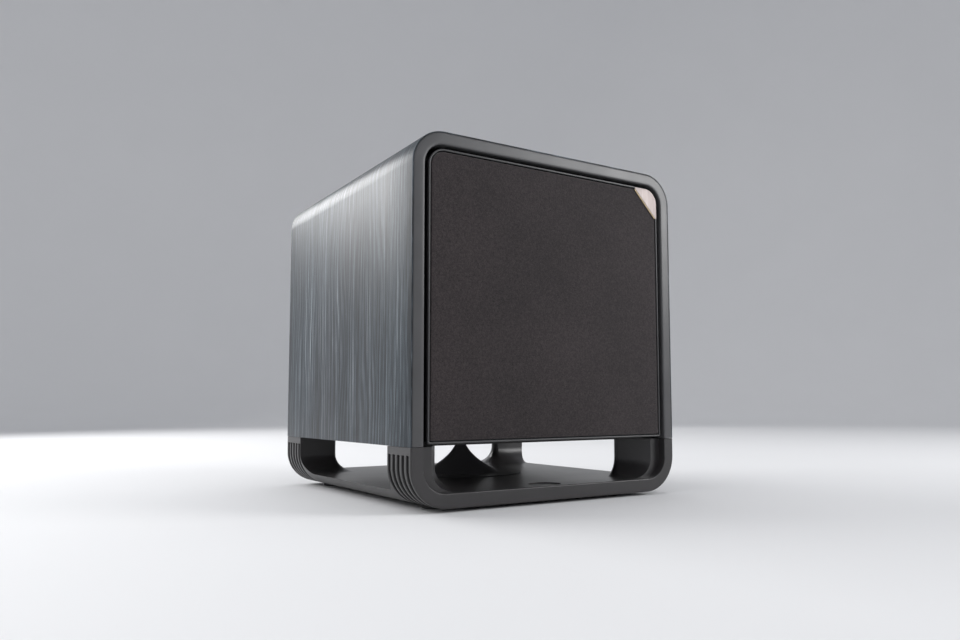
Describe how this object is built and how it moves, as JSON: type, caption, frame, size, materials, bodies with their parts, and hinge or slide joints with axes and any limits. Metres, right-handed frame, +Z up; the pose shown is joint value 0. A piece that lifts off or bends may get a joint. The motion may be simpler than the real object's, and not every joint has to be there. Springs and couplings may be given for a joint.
{
  "type": "powered subwoofer",
  "caption": "Powered bass-reflex subwoofer: veneered cabinet with a pull-off cloth grille on a louvred base, with a down-firing port over a diffuser cone.",
  "frame": {"origin": "centre of the whole object's box in plan, on the surface that the feet stand on", "axes": "+Z up, -Y towards the listener (the grille side), +X to the listener's right when facing the grille"},
  "size_m": [0.363, 0.4152, 0.402],
  "materials": {
    "wood_veneer": "satin charcoal wood-grain vinyl, grain running along the height on the sides",
    "fibreboard": "black-sealed fibreboard",
    "wadding": "white polyester wadding",
    "bezel_plastic": "satin grey moulded plastic",
    "base_plastic": "satin dark grey moulded plastic",
    "black_plastic": "satin black moulded plastic",
    "grille_fabric": "fine knitted charcoal speaker cloth",
    "badge_metal": "warm satin silver",
    "rubber": "matt black rubber",
    "zinc_steel": "bright zinc plating",
    "painted_steel": "fine-textured black powder coat",
    "ferrite": "dull grey ferrite",
    "cone_paper": "black pressed paper pulp",
    "impregnated_cloth": "resin-stiffened cloth",
    "copper_wire": "enamelled copper winding",
    "circuit_laminate": "green solder mask",
    "heatsink_aluminium": "black anodised",
    "red_sleeve": "red insulation",
    "black_sleeve": "black insulation",
    "led_lens": "clear blue lens"
  },
  "bodies": {
    "cabinet": {"cabinet_wrap": "wood_veneer", "bottom_panel": "fibreboard", "front_baffle": "fibreboard", "rear_panel": "fibreboard", "internal_brace": "fibreboard", "acoustic_wadding": "wadding", "front_bezel": "bezel_plastic", "base_plinth": "base_plastic", "diffuser_cone": "black_plastic", "port_mouth": "black_plastic", "port_tube": "black_plastic", "terminal_block": "black_plastic", "mains_switch_housing": "black_plastic", "mains_inlet": "black_plastic", "filter_capacitor_1": "black_plastic", "filter_capacitor_2": "black_plastic", "foot_front_left": "rubber", "foot_front_right": "rubber", "foot_rear_left": "rubber", "foot_rear_right": "rubber", "woofer_gasket": "rubber", "woofer_surround": "rubber", "base_screw_front_left": "zinc_steel", "base_screw_front_right": "zinc_steel", "base_screw_rear_left": "zinc_steel", "base_screw_rear_right": "zinc_steel", "woofer_screw_1": "zinc_steel", "woofer_screw_2": "zinc_steel", "woofer_screw_3": "zinc_steel", "woofer_screw_4": "zinc_steel", "volume_pot": "zinc_steel", "lowpass_pot": "zinc_steel", "phase_switch_body": "zinc_steel", "mode_switch_body": "zinc_steel", "line_jack_left": "zinc_steel", "line_jack_right": "zinc_steel", "magnet_top_plate": "zinc_steel", "magnet_yoke": "zinc_steel", "woofer_basket": "painted_steel", "amp_plate": "painted_steel", "magnet_ring": "ferrite", "spider": "impregnated_cloth", "toroidal_transformer": "copper_wire", "circuit_board": "circuit_laminate", "heatsink": "heatsink_aluminium", "speaker_wire_red": "red_sleeve", "speaker_wire_black": "black_sleeve", "status_led": "led_lens"},
    "grille": {"grille_frame": "black_plastic", "grille_cloth": "grille_fabric", "badge": "badge_metal"},
    "woofer_moving": {"woofer_cone": "cone_paper", "dust_cap": "cone_paper", "voice_coil_former": "impregnated_cloth", "voice_coil": "copper_wire"},
    "volume_control": {"volume_knob": "black_plastic"},
    "crossover_control": {"lowpass_knob": "black_plastic"},
    "phase_switch": {"phase_slider": "black_plastic"},
    "mode_switch": {"mode_slider": "black_plastic"},
    "mains_switch": {"mains_rocker": "black_plastic"}
  },
  "joints": [
    {"name": "grille_pull", "type": "slide", "parent": "cabinet", "child": "grille", "axis": [0, -1, 0], "range_m": [0, 0.06]},
    {"name": "cone_stroke", "type": "slide", "parent": "cabinet", "child": "woofer_moving", "axis": [0, -1, 0], "range_m": [-0.008, 0.008], "stiffness_N_per_m": 2500, "deforming": ["woofer_surround", "spider"]},
    {"name": "volume_turn", "type": "hinge", "parent": "cabinet", "child": "volume_control", "pos_m": [0.036, 0.19425, 0.29], "axis": [0, 1, 0], "range_deg": [-150, 150]},
    {"name": "lowpass_turn", "type": "hinge", "parent": "cabinet", "child": "crossover_control", "pos_m": [0.082, 0.19425, 0.29], "axis": [0, 1, 0], "range_deg": [-150, 150]},
    {"name": "phase_slide", "type": "slide", "parent": "cabinet", "child": "phase_switch", "axis": [1, 0, 0], "range_m": [0, 0.004]},
    {"name": "mode_slide", "type": "slide", "parent": "cabinet", "child": "mode_switch", "axis": [1, 0, 0], "range_m": [-0.004, 0.004]},
    {"name": "mains_rock", "type": "hinge", "parent": "cabinet", "child": "mains_switch", "pos_m": [0.026, 0.19325, 0.162], "axis": [1, 0, 0], "range_deg": [0, 16]}
  ]
}
